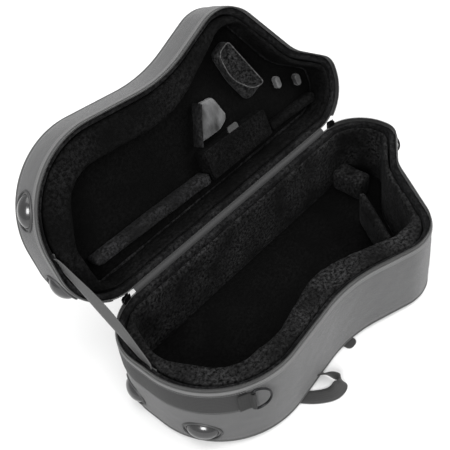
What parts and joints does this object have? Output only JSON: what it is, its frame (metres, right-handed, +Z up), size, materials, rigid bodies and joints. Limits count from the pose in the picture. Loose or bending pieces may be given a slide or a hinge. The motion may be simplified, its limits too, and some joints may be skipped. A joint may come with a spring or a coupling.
{
  "type": "contoured saxophone case",
  "caption": "Zip-round contoured soft-shell instrument case with plush-lined base cavity, fitted lid with pockets, stay strap, D-rings, zip sliders and feet.",
  "frame": {"origin": "on the floor under the middle of the case, half way along the hinge and half way from the hinge wall to the front", "axes": "+Z up, +X along the hinge from the bow end to the neck end, -Y towards the front that opens"},
  "size_m": [0.6756, 0.4724, 0.4242],
  "materials": {
    "nylon_grey": "woven nylon",
    "nylon_black": "woven nylon tape",
    "foam": "moulded foam",
    "plush": "napped plush",
    "satin": "smooth lining cloth",
    "webbing_grey": "ribbed webbing",
    "webbing_black": "ribbed webbing",
    "zip_coil": "nylon coil",
    "dark_metal": "gunmetal plating",
    "steel": "zinc plated",
    "foot_rubber": "glossy rubber",
    "piping": "vinyl piping",
    "grip": "moulded grip"
  },
  "bodies": {
    "base": {"base_back_pad": "nylon_grey", "base_cavity_floor": "plush", "base_end_panel": "nylon_grey", "base_foam_shell": "foam", "base_foot_bezels": "foot_rubber", "base_foot_domes": "foot_rubber", "base_foot_studs": "steel", "base_padding_ring": "plush", "base_piping": "piping", "base_side_cover": "nylon_grey", "base_zip_tape": "nylon_black", "base_zip_teeth": "zip_coil", "bell_divider_pad": "plush", "body_rest_pad": "plush", "bow_rest_pad": "plush", "large_strap_loop": "webbing_black", "small_strap_loop": "webbing_black", "strap_anchor_tabs": "webbing_black", "bow_webbing_band": "webbing_grey", "bow_ring_keeper": "webbing_grey", "neck_ring_keeper": "webbing_grey", "hinge_strip": "nylon_grey", "lid_stay_strap": "webbing_grey", "handle_brackets": "dark_metal"},
    "lid": {"lid_cavity_lining": "plush", "lid_cross_divider": "satin", "lid_end_panel": "nylon_grey", "lid_foam_shell": "foam", "lid_foot_bezels": "foot_rubber", "lid_foot_domes": "foot_rubber", "lid_foot_studs": "steel", "lid_long_divider": "plush", "lid_padding_ring": "plush", "lid_piping": "piping", "lid_side_cover": "nylon_grey", "lid_zip_tape": "nylon_black", "lid_zip_teeth": "zip_coil", "accessory_box": "plush", "side_shelf_pad": "plush", "mouthpiece_pouch": "satin", "satin_pocket": "satin", "satin_loops": "satin"},
    "flap": {"accessory_flap": "plush", "flap_pull_tab": "webbing_black"},
    "carry_handle": {"handle_strap": "webbing_black", "handle_grip": "grip"},
    "bow_ring": {"bow_d_ring": "dark_metal"},
    "neck_ring": {"neck_d_ring": "dark_metal"},
    "bow_slider": {"bow_zip_slider": "dark_metal"},
    "bow_pull": {"bow_zip_pull": "dark_metal"},
    "neck_slider": {"neck_zip_slider": "dark_metal"},
    "neck_pull": {"neck_zip_pull": "dark_metal"}
  },
  "joints": [
    {"name": "lid_hinge", "type": "hinge", "parent": "base", "child": "lid", "pos_m": [0, 0.14865, 0.144], "axis": [1, 0, 0], "range_deg": [0, 110], "deforming": ["hinge_strip", "lid_stay_strap"]},
    {"name": "accessory_flap_hinge", "type": "hinge", "parent": "lid", "child": "flap", "pos_m": [0, 0.18987, 0.17625], "axis": [1, 0, 0], "range_deg": [0, 85]},
    {"name": "carry_handle_swing", "type": "hinge", "parent": "base", "child": "carry_handle", "pos_m": [0, 0.16075, 0.092], "axis": [1, 0, 0], "range_deg": [0, 95]},
    {"name": "bow_ring_swing", "type": "hinge", "parent": "base", "child": "bow_ring", "pos_m": [-0.25647, -0.1126, 0.107], "axis": [0, 0, -1], "range_deg": [0, 110]},
    {"name": "neck_ring_swing", "type": "hinge", "parent": "base", "child": "neck_ring", "pos_m": [0.3338, 0.06675, 0.096], "axis": [0, 0, 1], "range_deg": [0, 110]},
    {"name": "bow_slider_travel", "type": "hinge", "parent": "base", "child": "bow_slider", "pos_m": [-0.235, 0.05575, 0.144], "axis": [0, 0, 1], "range_deg": [0, 70]},
    {"name": "bow_pull_swing", "type": "hinge", "parent": "bow_slider", "child": "bow_pull", "pos_m": [-0.25714, 0.15163, 0.1415], "axis": [0.9744, 0.225, 0], "range_deg": [0, 60]},
    {"name": "neck_slider_travel", "type": "hinge", "parent": "base", "child": "neck_slider", "pos_m": [0.25, 0.07075, 0.144], "axis": [0, 0, -1], "range_deg": [0, 60]},
    {"name": "neck_pull_swing", "type": "hinge", "parent": "neck_slider", "child": "neck_pull", "pos_m": [0.26876, 0.15201, 0.1415], "axis": [0.9744, -0.225, 0], "range_deg": [0, 60]}
  ]
}
